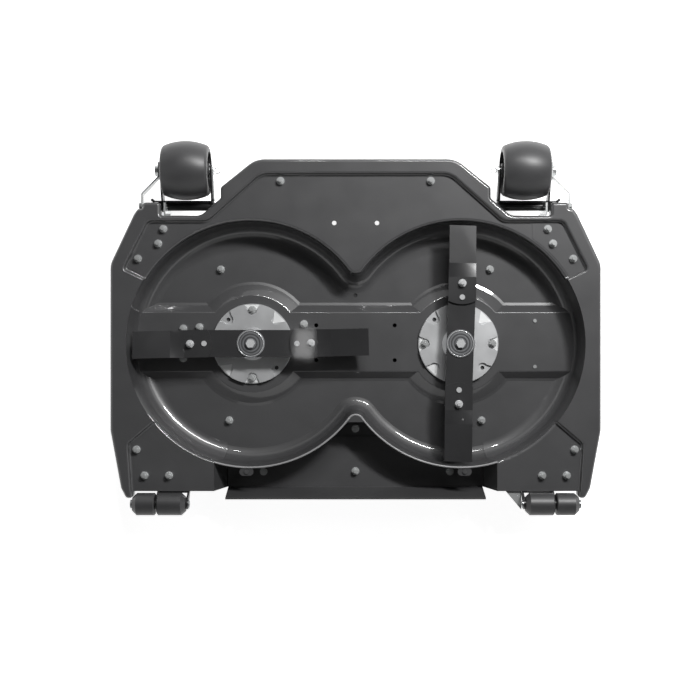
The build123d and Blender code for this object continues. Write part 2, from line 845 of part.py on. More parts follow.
# Drive pulley on the left spindle, and the toothed belt between the spindles
with BuildPart() as input_pulley:
    with BuildSketch(Plane(origin=(-spindle_half, 0, input_z), x_dir=(1, 0, 0), z_dir=(0, -1, 0))):
        with BuildLine():
            Polyline(
                (bore_r, 0),
                (input_r, 0),
                (input_r, 3),
                (input_r - input_groove, input_wide / 2 - 2),
                (input_r - input_groove, input_wide / 2 + 2),
                (input_r, input_wide - 3),
                (input_r, input_wide),
                (bore_r, input_wide),
                close=True,
            )
        make_face()
    revolve(axis=Axis((-spindle_half, 0, 0), (0, 0, 1)))
finish(input_pulley.part, "input_pulley")

belt_in_r = pulley_tip_r + belt_gap
with BuildPart() as timing_belt:
    with BuildSketch(Plane.XY.offset(pulley_z + (pulley_wide - belt_wide) / 2)):
        SlotCenterToCenter(2 * spindle_half, 2 * (belt_in_r + belt_thick))
        SlotCenterToCenter(2 * spindle_half, 2 * belt_in_r, mode=Mode.SUBTRACT)
    extrude(amount=belt_wide)
finish(timing_belt.part, "timing_belt")


def cover_outline(grow):
    """Two round ends joined by a narrower waist."""
    with BuildSketch() as face:
        with Locations((spindle_half, 0), (-spindle_half, 0)):
            Circle(cover_r + grow)
        Rectangle(2 * spindle_half, 2 * (cover_waist + grow))
    return face.sketch


# Belt cover that the deck lies on, with a flange and two lugs against the shell
cover_top = ceiling_z - sheet
lug_turn = degrees(atan2(cover_bolt_place[1], cover_bolt_place[0] - spindle_half))
lug_out = sqrt(cover_bolt_place[1] ** 2 + (cover_bolt_place[0] - spindle_half) ** 2)
with BuildPart() as belt_cover:
    with BuildSketch():
        add(cover_outline(0.0))
    extrude(amount=cover_top)
    with BuildSketch(Plane.XY.offset(cover_top - cover_wall)):
        add(cover_outline(cover_flange))
        with Locations(Location((spindle_half, 0, 0), (0, 0, lug_turn))):
            Rectangle(lug_out, 2 * cover_lug_r, align=(Align.MIN, Align.CENTER))
        with Locations(Location((-spindle_half, 0, 0), (0, 0, 180 - lug_turn))):
            Rectangle(lug_out, 2 * cover_lug_r, align=(Align.MIN, Align.CENTER))
        with Locations(*mirrored([cover_bolt_place])):
            Circle(cover_lug_r)
    extrude(amount=cover_wall)
    with BuildSketch(Plane.XY.offset(cover_wall)):
        add(cover_outline(-cover_wall))
    extrude(amount=cover_top, mode=Mode.SUBTRACT)
    with Locations((-spindle_half, -cover_r, input_z + input_wide / 2)):
        Box(cover_slot_half, cover_r, input_wide + 4, mode=Mode.SUBTRACT)
    with Locations(*mirrored([cover_bolt_place])):
        Hole(bolt_r + hole_gap)
finish(belt_cover.part, "belt_cover")

# Hanger brackets on the hidden side
hanger_top = ceiling_z - sheet
hanger_mid_y = hanger_y - hanger_back
for side, tag in ((-1, "left"), (1, "right")):
    with BuildPart() as hanger:
        with BuildSketch(Plane.XY.offset(hanger_top - hanger_base)):
            with Locations((side * hanger_x, hanger_mid_y)):
                Rectangle(hanger_wide, 2 * hanger_end_r)
        extrude(amount=hanger_base)
        with BuildSketch(Plane.YZ.offset(side * (hanger_x + hanger_wide / 2) - hanger_base * (side + 1) / 2)):
            with Locations((hanger_mid_y, hanger_bore_z)):
                Circle(hanger_end_r)
                Rectangle(2 * hanger_end_r, hanger_top - hanger_bore_z, align=(Align.CENTER, Align.MIN))
            with Locations((hanger_mid_y, hanger_bore_z)):
                Circle(hanger_bore_r, mode=Mode.SUBTRACT)
        extrude(amount=hanger_base)
        with Locations((side * hanger_x, hanger_y)):
            Hole(bolt_r + hole_gap)
    finish(hanger.part, f"hanger_bracket_{tag}")


def both(piece, name):
    """Write a right-hand piece and its mirror image as one group."""
    with BuildPart() as group:
        add(piece)
        add(piece.mirror(Plane.YZ))
    finish(group.part, name)


def pair(piece, name):
    """Write a right-hand piece and its mirror image on the left."""
    with BuildPart() as twin:
        add(piece.mirror(Plane.YZ))
    finish(piece, f"{name}_right")
    finish(twin.part, f"{name}_left")


# Front wheels: fork, axle, stays and bracket on each side
half_wheel = wheel_wide / 2
tread_half = half_wheel - shoulder_in
tread_end_r = wheel_r - wheel_crown
bulge_x = half_wheel - shoulder_in * shoulder_mid
bulge_r = wheel_face_r + (tread_end_r - wheel_face_r) * (1 - shoulder_mid)
fork_in_x = wheel_x - half_wheel - fork_gap - fork_plate
fork_out_x = wheel_x + half_wheel + fork_gap
fork_mid = ((wheel_y + tube_y) / 2, (wheel_z + tube_z) / 2)
stay_x = fork_out_x + fork_plate + 0.2
rod_z = tube_z + sqrt((tube_r + rod_r - 0.5) ** 2 - (rod_y - tube_y) ** 2)
with BuildPart() as wheel:
    with BuildSketch(Plane(origin=(wheel_x, wheel_y, wheel_z), x_dir=(1, 0, 0), z_dir=(0, -1, 0))):
        with BuildLine():
            Polyline(
                (-half_wheel, wheel_face_r),
                (-half_wheel, wheel_face_r - wheel_edge),
                (wheel_recess - half_wheel, wheel_face_r - wheel_edge),
                (wheel_recess - half_wheel, wheel_hub_r),
                (-half_wheel, wheel_hub_r),
                (-half_wheel, axle_r + running_gap),
                (half_wheel, axle_r + running_gap),
                (half_wheel, wheel_hub_r),
                (half_wheel - wheel_recess, wheel_hub_r),
                (half_wheel - wheel_recess, wheel_face_r - wheel_edge),
                (half_wheel, wheel_face_r - wheel_edge),
                (half_wheel, wheel_face_r),
            )
            ThreePointArc((half_wheel, wheel_face_r), (bulge_x, bulge_r), (tread_half, tread_end_r))
            ThreePointArc((tread_half, tread_end_r), (0, wheel_r), (-tread_half, tread_end_r))
            ThreePointArc((-tread_half, tread_end_r), (-bulge_x, bulge_r), (-half_wheel, wheel_face_r))
        make_face()
    revolve(axis=Axis((0, wheel_y, wheel_z), (1, 0, 0)))
pair(wheel.part, "wheel")

with BuildPart() as wheel_fork:
    with BuildSketch(Plane.YZ.offset(fork_in_x), Plane.YZ.offset(fork_out_x)):
        SlotCenterPoint(fork_mid, (wheel_y, wheel_z), fork_wide)
        with Locations((wheel_y, wheel_z)):
            Circle(axle_r + hole_gap, mode=Mode.SUBTRACT)
    extrude(amount=fork_plate)
    with BuildSketch(Plane.YZ.offset(tube_in_x)):
        with Locations((tube_y, tube_z)):
            Circle(tube_r)
    extrude(amount=tube_out_x - tube_in_x)
    with BuildSketch(Plane.YZ.offset(tube_in_x)):
        with Locations((tube_y, tube_z)):
            Circle(tube_r - sheet)
    extrude(amount=tube_out_x - tube_in_x, mode=Mode.SUBTRACT)
    with BuildSketch(Plane.YZ.offset(fork_in_x)):
        with Locations((rod_y, rod_z)):
            Circle(rod_r)
    extrude(amount=rod_out_x + rod_r - fork_in_x)
    with BuildSketch(Plane.XY.offset(rod_z)):
        with Locations((rod_out_x, rod_y)):
            Circle(rod_r)
    extrude(amount=rod_top_z - rod_z)
pair(wheel_fork.part, "wheel_fork")

axle_in_x = fork_in_x - strap_thick - 0.8
axle_out_x = stay_x + strap_thick + 0.2
with BuildPart() as wheel_axle:
    with BuildSketch(Plane.YZ.offset(axle_in_x)):
        with Locations((wheel_y, wheel_z)):
            Circle(axle_r)
    extrude(amount=axle_out_x - axle_in_x)
    with BuildSketch(Plane.YZ.offset(axle_out_x)):
        with Locations((wheel_y, wheel_z)):
            Circle(axle_head_r)
    extrude(amount=axle_head)
both(wheel_axle.part, "wheel_axles")

with BuildPart() as axle_clips:
    clip_x = axle_in_x - clip_r - clip_wire_r - 0.2
    with Locations((clip_x, wheel_y, wheel_z), (-clip_x, wheel_y, wheel_z)):
        Torus(clip_r, clip_wire_r)
finish(axle_clips.part, "axle_clips")

strap_low = wheel_z + (strap_foot_y - wheel_y) * (wheel_z - tube_z) / (wheel_y - tube_y)
strap_mid = ((wheel_y + strap_foot_y) / 2, (wheel_z + strap_low) / 2)
with BuildPart() as inner_stay:
    with BuildSketch(Plane.YZ.offset(fork_in_x - strap_thick - 0.2)):
        SlotCenterPoint(strap_mid, (wheel_y, wheel_z), strap_wide)
        with Locations((wheel_y, wheel_z)):
            Circle(axle_r + hole_gap, mode=Mode.SUBTRACT)
    extrude(amount=strap_thick)
pair(inner_stay.part, "inner_stay")

strap_mid_x = stay_x + strap_thick / 2
foot_mid_x = lug_out_x + 0.2 + strap_thick / 2
with BuildPart() as outer_stay:
    with BuildSketch(Plane.XY.offset(wheel_z - strap_wide / 2)):
        with BuildLine():
            FilletPolyline(
                (strap_mid_x, wheel_y + strap_wide * 0.75),
                (strap_mid_x, stay_knee_y),
                (foot_mid_x, stay_turn_y),
                (foot_mid_x, lug_foot_y + 3.5),
                radius=strap_thick,
            )
        trace(line_width=strap_thick)
    extrude(amount=strap_wide)
    with Locations(Location((strap_mid_x, wheel_y, wheel_z), (0, 90, 0))):
        Cylinder(axle_r + hole_gap, 3 * strap_thick, mode=Mode.SUBTRACT)
    with Locations(Location((foot_mid_x, stay_bolt_y, wheel_z), (0, 90, 0))):
        Cylinder(bolt_r + hole_gap, 3 * strap_thick, mode=Mode.SUBTRACT)
pair(outer_stay.part, "outer_stay")

stay_face_x = lug_out_x + 0.2 + strap_thick
with BuildPart() as stay_bolts:
    for side in (1, -1):
        with BuildSketch(Plane.YZ.offset(side * stay_face_x)):
            with Locations((stay_bolt_y, wheel_z)):
                RegularPolygon(nut_across / 2, 6, major_radius=False)
        extrude(amount=side * nut_high)
        with BuildSketch(Plane.YZ.offset(side * stay_face_x)):
            with Locations((stay_bolt_y, wheel_z)):
                Circle(bolt_r)
        extrude(amount=-side * (strap_thick + 3 * sheet))
finish(stay_bolts.part, "stay_bolts")

with BuildPart() as wheel_bracket:
    with BuildSketch(Plane.YZ.offset(gusset_x)):
        with BuildLine():
            Polyline(
                (notch_y, rim_z - rim_round),
                (gusset_front_y, rim_z - rim_round),
                (gusset_front_y, tube_z - 2 * tube_r),
                (notch_y + 12, gusset_low_z),
                (notch_y, gusset_low_z),
                close=True,
            )
        make_face()
        with Locations((tube_y, tube_z)):
            Circle(tube_r + hole_gap, mode=Mode.SUBTRACT)
    extrude(amount=fork_plate)
    with BuildSketch(Plane.XZ.offset(-notch_y)):
        with Locations((gusset_x + fork_plate, lip_z + 2)):
            Rectangle(flange_long, lip_depth - rim_round - 2, align=(Align.MAX, Align.MIN))
    extrude(amount=-fork_plate)
pair(wheel_bracket.part, "wheel_bracket")

# Rear rollers: two on each overhung axle, carried by a bent bracket on the rear lip
in_roller_x = ear_in_x + ear_thick + roller_gap
out_roller_x = ear_mid_x + ear_thick + roller_gap
cap_x = out_roller_x + roller_long + roller_gap
with BuildPart() as roller_bracket:
    with BuildSketch(Plane.YZ.offset(ear_in_x), Plane.YZ.offset(ear_mid_x)):
        with BuildLine():
            Polyline(
                (rear_y, lip_z + 2),
                (rear_y, land_z - 2),
                (roller_y + ear_wide / 4, roller_z + ear_wide * 0.433),
                (roller_y - ear_wide / 4, roller_z - ear_wide * 0.433),
                close=True,
            )
        make_face()
        with Locations((roller_y, roller_z)):
            Circle(ear_wide / 2)
            Circle(roller_axle_r + hole_gap, mode=Mode.SUBTRACT)
    extrude(amount=ear_thick)
    with BuildSketch(Plane.XY.offset(lip_z + 2)):
        with Locations((ear_in_x, rear_y)):
            Rectangle(ear_mid_x + ear_thick - ear_in_x, ear_thick, align=(Align.MIN, Align.MAX))
    extrude(amount=land_z - lip_z - 4)
pair(roller_bracket.part, "roller_bracket")

with BuildPart() as roller_axle:
    with BuildSketch(Plane.YZ.offset(ear_in_x - 3)):
        with Locations((roller_y, roller_z)):
            Circle(roller_axle_r)
    extrude(amount=cap_x - ear_in_x + 3)
    with BuildSketch(Plane.YZ.offset(cap_x)):
        with Locations((roller_y, roller_z)):
            Circle(1.5 * roller_axle_r)
    extrude(amount=ear_thick)
    with BuildSketch(Plane.YZ.offset(ear_in_x - 0.2)):
        with Locations((roller_y, roller_z)):
            Circle(1.5 * roller_axle_r)
    extrude(amount=-ear_thick / 2)
both(roller_axle.part, "roller_axles")


def roller(start_x, long, taper_first):
    """Roller along X with one tapered end."""
    first, last = (roller_end_r, roller_r) if taper_first else (roller_r, roller_end_r)
    first_x = roller_taper if taper_first else 2.0
    last_x = long - (2.0 if taper_first else roller_taper)
    with BuildPart() as turned:
        with BuildSketch(Plane(origin=(start_x, roller_y, roller_z), x_dir=(1, 0, 0), z_dir=(0, -1, 0))):
            with BuildLine():
                Polyline(
                    (0, roller_axle_r + running_gap),
                    (long, roller_axle_r + running_gap),
                    (long, last - (2.0 if taper_first else 0.0)),
                    (last_x, roller_r),
                    (first_x, roller_r),
                    (0, first - (0.0 if taper_first else 2.0)),
                    close=True,
                )
            make_face()
        revolve(axis=Axis((0, roller_y, roller_z), (1, 0, 0)))
    return turned.part


pair(roller(in_roller_x, ear_mid_x - roller_gap - in_roller_x, True), "inner_roller")
pair(roller(out_roller_x, roller_long, False), "outer_roller")

with BuildPart() as roller_gusset:
    with BuildSketch(Plane.XY.offset(lip_z + 6)):
        with BuildLine():
            Polyline(
                (ear_in_x - 0.3, rear_y),
                (ear_in_x - 0.3, roller_y - roller_end_r),
                (ear_in_x - gusset_long, rear_y),
                close=True,
            )
        make_face()
    extrude(amount=ear_thick)
finish(roller_gusset.part, "roller_gusset")
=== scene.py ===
"""Looks and stage of the twin-blade mower deck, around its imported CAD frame."""

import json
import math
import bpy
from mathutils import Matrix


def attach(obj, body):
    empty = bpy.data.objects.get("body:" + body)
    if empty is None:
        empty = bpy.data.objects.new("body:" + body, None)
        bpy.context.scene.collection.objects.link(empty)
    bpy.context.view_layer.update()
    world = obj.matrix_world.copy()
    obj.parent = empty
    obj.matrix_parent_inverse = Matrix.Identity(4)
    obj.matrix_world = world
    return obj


bl_info = {
    "name": "Mower Deck",
    "version": (1, 0, 0),
    "blender": (4, 5, 0),
    "location": "View3D > Sidebar > Deck",
    "description": "Dresses the packed mower deck and sets its stage",
    "category": "Object",
}

import bpy
from mathutils import Vector

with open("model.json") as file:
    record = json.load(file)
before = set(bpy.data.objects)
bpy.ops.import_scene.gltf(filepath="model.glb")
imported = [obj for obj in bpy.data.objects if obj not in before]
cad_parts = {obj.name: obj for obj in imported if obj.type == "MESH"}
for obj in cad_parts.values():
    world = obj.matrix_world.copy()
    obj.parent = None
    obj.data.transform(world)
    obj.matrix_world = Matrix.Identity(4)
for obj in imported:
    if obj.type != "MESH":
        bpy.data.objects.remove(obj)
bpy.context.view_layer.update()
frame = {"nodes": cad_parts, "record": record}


def linear(code):
    """Linear RGBA from a hex sRGB colour."""
    values = [int(code[i:i + 2], 16) / 255 for i in (1, 3, 5)]
    return [v / 12.92 if v <= 0.04045 else ((v + 0.055) / 1.055) ** 2.4 for v in values] + [1.0]


def add_node(tree, kind, inputs=None, **values):
    """New shader node with its properties set, and its inputs set to values or linked to sockets."""
    node = tree.nodes.new(kind)
    for name, value in values.items():
        setattr(node, name, value)
    for name, value in (inputs or {}).items():
        if isinstance(value, bpy.types.NodeSocket):
            tree.links.new(value, node.inputs[name])
        else:
            node.inputs[name].default_value = value
    return node


def surface(
    name,
    colour,
    rough,
    metal=0.0,
    grain_mm=1.0,
    bump_mm=0.02,
    vary=0.12,
    rough_vary=0.08,
    coat=0.0,
    ring_x=None,
    ring_mm=6.5,
    ring_deep_mm=0.15,
):
    """Procedural finish: fine grain, cloudy tone and gloss, with turned rings round a spindle at ring_x."""
    material = bpy.data.materials.new(name)
    material.use_nodes = True
    tree = material.node_tree
    tree.nodes.clear()
    place = add_node(tree, "ShaderNodeTexCoord").outputs["Object"]
    grain = add_node(tree, "ShaderNodeTexNoise", {"Vector": place, "Scale": 1000 / grain_mm, "Detail": 3.0})
    cloud = add_node(tree, "ShaderNodeTexNoise", {"Vector": place, "Scale": 1000 / 60, "Detail": 4.0})
    tone = add_node(
        tree,
        "ShaderNodeMapRange",
        {"Value": cloud.outputs["Fac"], "To Min": 1 - vary, "To Max": 1 + vary},
    )
    gloss = add_node(
        tree,
        "ShaderNodeMapRange",
        {"Value": cloud.outputs["Fac"], "To Min": rough - rough_vary, "To Max": rough + rough_vary},
    )
    shade = tone.outputs["Result"]
    relief = add_node(tree, "ShaderNodeBump", {"Height": grain.outputs["Fac"], "Distance": bump_mm / 1000})
    if ring_x is not None:
        centred = add_node(tree, "ShaderNodeVectorMath", {0: place, 1: (ring_x, 0, 0)}, operation="SUBTRACT")
        rings = add_node(
            tree,
            "ShaderNodeTexWave",
            {"Vector": centred.outputs[0], "Scale": 1000 * math.pi / (10 * ring_mm), "Distortion": 0.6},
            wave_type="RINGS",
            rings_direction="Z",
        )
        bands = add_node(
            tree,
            "ShaderNodeMapRange",
            {"Value": rings.outputs["Fac"], "To Min": 0.5, "To Max": 1.5},
        )
        ringed = add_node(tree, "ShaderNodeMath", {0: shade, 1: bands.outputs[0]}, operation="MULTIPLY")
        shade = ringed.outputs[0]
        relief = add_node(
            tree,
            "ShaderNodeBump",
            {
                "Height": rings.outputs["Fac"],
                "Distance": ring_deep_mm / 1000,
                "Normal": relief.outputs["Normal"],
            },
        )
    mixed = add_node(tree, "ShaderNodeVectorMath", {0: linear(colour)[:3], "Scale": shade}, operation="SCALE")
    shader = add_node(
        tree,
        "ShaderNodeBsdfPrincipled",
        {
            "Base Color": mixed.outputs["Vector"],
            "Roughness": gloss.outputs["Result"],
            "Metallic": metal,
            "Coat Weight": coat,
            "Coat Roughness": 0.05,
            "Normal": relief.outputs["Normal"],
        },
    )
    add_node(tree, "ShaderNodeOutputMaterial", {"Surface": shader.outputs["BSDF"]})
    return material


FINISHES = {
    "deck_paint": dict(colour="#414142", rough=0.4, grain_mm=1.2, bump_mm=0.008, vary=0.05, coat=0.8),
    "blade_paint": dict(colour="#2c2c2d", rough=0.32, grain_mm=1.5, bump_mm=0.008, vary=0.08, coat=0.6),
    "black_paint": dict(colour="#1c1c1d", rough=0.3, grain_mm=1.2, bump_mm=0.015),
    "housing_aluminium": dict(colour="#c2c3c4", rough=0.42, metal=0.75, grain_mm=0.8, bump_mm=0.03),
    "zinc": dict(colour="#dcdede", rough=0.24, metal=0.7, grain_mm=0.5, bump_mm=0.01),
    "dark_bolts": dict(colour="#dcddde", rough=0.26, metal=0.5, grain_mm=0.5, bump_mm=0.01),
    "axle_steel": dict(colour="#8d8f90", rough=0.3, metal=0.8, grain_mm=0.4, bump_mm=0.01),
    "pulley_steel": dict(colour="#77797b", rough=0.4, metal=1.0, grain_mm=0.6, bump_mm=0.01),
    "bearing_steel": dict(colour="#9a9c9e", rough=0.25, metal=1.0, grain_mm=0.4, bump_mm=0.005),
    "wheel_plastic": dict(colour="#3a3a3b", rough=0.42, grain_mm=0.9, bump_mm=0.02),
    "roller_plastic": dict(colour="#363637", rough=0.42, grain_mm=0.9, bump_mm=0.03),
    "plug_plastic": dict(colour="#343435", rough=0.5, grain_mm=0.9, bump_mm=0.01, coat=0.5),
    "cover_plastic": dict(colour="#222223", rough=0.5, grain_mm=0.9, bump_mm=0.04),
    "flap_rubber": dict(colour="#343435", rough=0.6, grain_mm=1.4, bump_mm=0.05),
    "belt_rubber": dict(colour="#1d1d1e", rough=0.7, grain_mm=1.0, bump_mm=0.04),
}
ACCENTS = {
    # The plug lip's light grey is a painted highlight on the rounded lip; the plug itself has dark paint
    "plug_lip": dict(colour="#8c8c8d", rough=0.3, grain_mm=0.9, bump_mm=0.01),
    "pocket_floors": dict(colour="#e2e3e3", rough=0.4, metal=0.3, grain_mm=0.8, bump_mm=0.02),
    # The washer rims' bright grey is a painted highlight on each hub washer's bevel
    "washer_rims": dict(colour="#c4c5c6", rough=0.25, metal=0.5, grain_mm=0.5, bump_mm=0.01),
    "plug_screws": dict(colour="#4a4a4b", rough=0.4, metal=0.3, grain_mm=0.5, bump_mm=0.01),
    "hub_washer_left": dict(colour="#77787a", rough=0.32, metal=0.7, grain_mm=0.6, ring_x=-0.224),
    "hub_washer_right": dict(colour="#77787a", rough=0.32, metal=0.7, grain_mm=0.6, ring_x=0.224),
}
MADE = {}

# Each lamp: name, direction round the deck from its right side, height in degrees, power, length, breadth
LAMPS = (
    ("key_light", 67, 50, 52, 1.46, 0.2),
    ("side_light", 52, 50, 58, 0.6, 0.2),
    ("front_light", 95.5, 50, 6, 0.12, 0.12),
    ("right_light", 30, 50, 7, 1.2, 0.9),
    ("left_light", 180, 45, 4, 1.8, 1.2),
    ("rear_light", 270, 48, 4, 2.0, 1.0),
    ("eye_light", 175.7, 85.7, 0.32, 0.14, 0.09),
)

# Directions of the pockets round a spindle, in degrees
POCKET_TURNS = (0, 45, 90, 180, 225, 270)

# The slanted edges of the corner plate: a point on each and its outward direction
PLATE_EDGES = (
    ((0.4640, 0.2085, 0), (0.8925, 0.4507, 0)),
    ((0.4560, 0.1400, 0), (0.4300, -0.9028, 0)),
)

# Both faces of each fork arm, from the middle of the deck
WELD_X = (0.3053, 0.3093, 0.4118, 0.4158)


def finish(name):
    """Material of a named finish, made once."""
    if name not in MADE:
        MADE[name] = surface(name, **(FINISHES.get(name) or ACCENTS[name]))
    return MADE[name]


def settle(obj, name, slot, body="deck", accent=None):
    """Put an added piece at the origin, give it its finish and let it ride a body."""
    bpy.ops.object.transform_apply(location=True, rotation=True, scale=True)
    obj.name = name
    obj.data.materials.clear()
    obj.data.materials.append(finish(accent or slot))
    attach(obj, body)


def joined(pieces):
    """Several new objects as one, the first of them."""
    bpy.ops.object.select_all(action="DESELECT")
    for piece in pieces:
        piece.select_set(True)
    bpy.context.view_layer.objects.active = pieces[0]
    if len(pieces) > 1:
        bpy.ops.object.join()
    return pieces[0]


def arc_bead(centre, radius, start, end, thick):
    """Round bead along part of a circle, between two directions given in degrees."""
    bpy.ops.object.select_all(action="DESELECT")
    bpy.ops.mesh.primitive_torus_add(
        location=centre,
        major_radius=radius,
        minor_radius=thick,
        major_segments=240,
        minor_segments=12,
    )
    bpy.ops.object.transform_apply(location=True, rotation=True, scale=True)
    bpy.ops.object.mode_set(mode="EDIT")
    for turn in (start + 90, end - 90):
        inward = (math.cos(math.radians(turn)), math.sin(math.radians(turn)), 0)
        bpy.ops.mesh.select_all(action="SELECT")
        bpy.ops.mesh.bisect(plane_co=centre, plane_no=inward, use_fill=True, clear_inner=True)
    bpy.ops.object.mode_set(mode="OBJECT")
    bpy.ops.object.shade_smooth()
    return bpy.context.object


def shown_only(name, obj):
    """Node tree of a stage piece's new material, and a value that is 1 only for rays that show the piece."""
    material = bpy.data.materials.new(name)
    material.use_nodes = True
    obj.data.materials.append(material)
    tree = material.node_tree
    tree.nodes.clear()
    ray = add_node(tree, "ShaderNodeLightPath").outputs
    shown = ray["Is Camera Ray"]
    for other in ("Is Glossy Ray", "Is Transmission Ray"):
        shown = add_node(tree, "ShaderNodeMath", {0: shown, 1: ray[other]}, operation="MAXIMUM").outputs[0]
    return tree, shown


class DeckSettings(bpy.types.PropertyGroup):
    """Sizes of the stage and the added details."""

    camera_height: bpy.props.FloatProperty(name="Camera height", default=2.522, unit="LENGTH")
    camera_x: bpy.props.FloatProperty(name="Camera X", default=-0.0119, unit="LENGTH")
    camera_y: bpy.props.FloatProperty(name="Camera Y", default=-0.0138, unit="LENGTH")
    lens: bpy.props.FloatProperty(name="Lens", default=57.2)
    lamp_level: bpy.props.FloatProperty(name="Lamp level", default=1.05)
    lamp_reach: bpy.props.FloatProperty(name="Lamp distance", default=3.2, unit="LENGTH")
    floor_glow: bpy.props.FloatProperty(name="Floor glow", default=0.9)
    floor_half: bpy.props.FloatProperty(name="Floor half-width", default=6.0, unit="LENGTH")
    wall_high: bpy.props.FloatProperty(name="Backdrop height", default=4.0, unit="LENGTH")
    spindle_half: bpy.props.FloatProperty(name="Spindle from middle", default=0.224, unit="LENGTH")
    lip_r: bpy.props.FloatProperty(name="Plug lip radius", default=0.2632, unit="LENGTH")
    lip_cusp: bpy.props.FloatProperty(name="Spindle to cusp centre", default=0.280, unit="LENGTH")
    lip_thick: bpy.props.FloatProperty(name="Plug lip half-thickness", default=0.0022, unit="LENGTH")
    lip_end: bpy.props.FloatProperty(name="Plug lip end, degrees", default=253.0)
    pocket_r: bpy.props.FloatProperty(name="Pocket from spindle", default=0.0773, unit="LENGTH")
    pocket_z: bpy.props.FloatProperty(name="Pocket floor", default=0.1022, unit="LENGTH")
    pocket_reach: bpy.props.FloatProperty(name="Pocket corner reach", default=0.0143, unit="LENGTH")
    pocket_stretch: bpy.props.FloatProperty(name="Pocket stretch", default=1.32)
    pocket_skin: bpy.props.FloatProperty(name="Pocket floor thickness", default=0.0004, unit="LENGTH")
    washer_z: bpy.props.FloatProperty(name="Hub washer top", default=0.150, unit="LENGTH")
    rim_r: bpy.props.FloatProperty(name="Washer rim radius", default=0.0272, unit="LENGTH")
    rim_thick: bpy.props.FloatProperty(name="Washer rim", default=0.0008, unit="LENGTH")
    land_z: bpy.props.FloatProperty(name="Land level", default=0.160, unit="LENGTH")
    mouth_r: bpy.props.FloatProperty(name="Chamber mouth radius", default=0.2695, unit="LENGTH")
    plate_x: bpy.props.FloatProperty(name="Corner plate X", default=0.4335, unit="LENGTH")
    plate_y: bpy.props.FloatProperty(name="Corner plate Y", default=0.1895, unit="LENGTH")
    plate_wide: bpy.props.FloatProperty(name="Corner plate width", default=0.117, unit="LENGTH")
    plate_long: bpy.props.FloatProperty(name="Corner plate length", default=0.137, unit="LENGTH")
    plate_thick: bpy.props.FloatProperty(name="Corner plate", default=0.0008, unit="LENGTH")
    weld_y: bpy.props.FloatProperty(name="Fork tube Y", default=0.2947, unit="LENGTH")
    weld_z: bpy.props.FloatProperty(name="Fork tube height", default=0.126, unit="LENGTH")
    weld_r: bpy.props.FloatProperty(name="Weld radius", default=0.0094, unit="LENGTH")
    weld_thick: bpy.props.FloatProperty(name="Weld bead", default=0.0016, unit="LENGTH")


class DECK_OT_finishes(bpy.types.Operator):
    """Give every CAD node the finish of its slot, or its own accent"""

    bl_idname = "deck.finishes"
    bl_label = "Finishes"

    def execute(self, context):
        for part in frame["record"]["subparts"]:
            name = part["node"] if part["node"] in ACCENTS else part["material_slot"]
            for place in frame["nodes"][part["node"]].material_slots:
                place.material = finish(name)
        return {"FINISHED"}


class DECK_OT_plug_lip(bpy.types.Operator):
    """Rounded lip along the top of the mulching plug, coloured light grey as a painted highlight"""

    bl_idname = "deck.plug_lip"
    bl_label = "Plug lip"

    def execute(self, context):
        settings = context.scene.deck
        half, radius, top = settings.spindle_half, settings.lip_r, settings.land_z - settings.lip_thick / 2
        lean = math.degrees(math.acos(half / settings.lip_cusp))
        rise = math.sqrt(settings.lip_cusp**2 - half**2)
        lip = joined([
            arc_bead((-half, 0, top), radius, settings.lip_end, 360 - lean, settings.lip_thick),
            arc_bead((half, 0, top), radius, 180 + lean, 540 - settings.lip_end, settings.lip_thick),
            arc_bead((0, -rise, top), settings.lip_cusp - radius, lean, 180 - lean, settings.lip_thick),
        ])
        # Light grey accent: a painted highlight along the lip
        settle(lip, "plug_lip", "plug_plastic", accent="plug_lip")
        return {"FINISHED"}


class DECK_OT_corner_plate(bpy.types.Operator):
    """Thin backing plate under the nuts of the right front corner"""

    bl_idname = "deck.corner_plate"
    bl_label = "Corner plate"

    def execute(self, context):
        settings = context.scene.deck
        bpy.ops.object.select_all(action="DESELECT")
        level = settings.land_z + settings.plate_thick / 2
        bpy.ops.mesh.primitive_cube_add(size=1, location=(settings.plate_x, settings.plate_y, level))
        plate = context.object
        plate.scale = (settings.plate_wide, settings.plate_long, settings.plate_thick)
        bpy.ops.object.transform_apply(location=True, rotation=True, scale=True)
        bpy.ops.object.mode_set(mode="EDIT")
        for edge, away in PLATE_EDGES:
            bpy.ops.mesh.select_all(action="SELECT")
            bpy.ops.mesh.bisect(plane_co=edge, plane_no=away, use_fill=True, clear_outer=True)
        bpy.ops.object.mode_set(mode="OBJECT")
        bpy.ops.object.select_all(action="DESELECT")
        bpy.ops.mesh.primitive_cylinder_add(
            vertices=180,
            radius=settings.mouth_r,
            depth=0.02,
            location=(settings.spindle_half, 0, settings.land_z),
        )
        mouth = context.object
        cut = plate.modifiers.new("mouth", "BOOLEAN")
        cut.object = mouth
        cut.operation = "DIFFERENCE"
        bpy.ops.object.select_all(action="DESELECT")
        plate.select_set(True)
        context.view_layer.objects.active = plate
        bpy.ops.object.modifier_apply(modifier=cut.name)
        bpy.data.objects.remove(mouth)
        settle(plate, "corner_plate", "deck_paint")
        return {"FINISHED"}


class DECK_OT_pocket_floors(bpy.types.Operator):
    """Bright cast floors in the pockets round each spindle housing"""

    bl_idname = "deck.pocket_floors"
    bl_label = "Pocket floors"

    def execute(self, context):
        settings = context.scene.deck
        for side, tag in ((1, "right"), (-1, "left")):
            floors = []
            for turn in POCKET_TURNS:
                bpy.ops.object.select_all(action="DESELECT")
                bpy.ops.mesh.primitive_cylinder_add(
                    vertices=3,
                    radius=settings.pocket_reach,
                    depth=settings.pocket_skin,
                )
                bpy.ops.transform.resize(value=(settings.pocket_stretch, 1, 1))
                around = math.radians(turn)
                floor = context.object
                floor.rotation_euler = (0, 0, around + math.pi / 2)
                floor.location = (
                    side * settings.spindle_half + settings.pocket_r * math.cos(around),
                    settings.pocket_r * math.sin(around),
                    settings.pocket_z,
                )
                floors.append(floor)
            settle(joined(floors), f"pocket_floors_{tag}", "housing_aluminium", accent="pocket_floors")
        return {"FINISHED"}


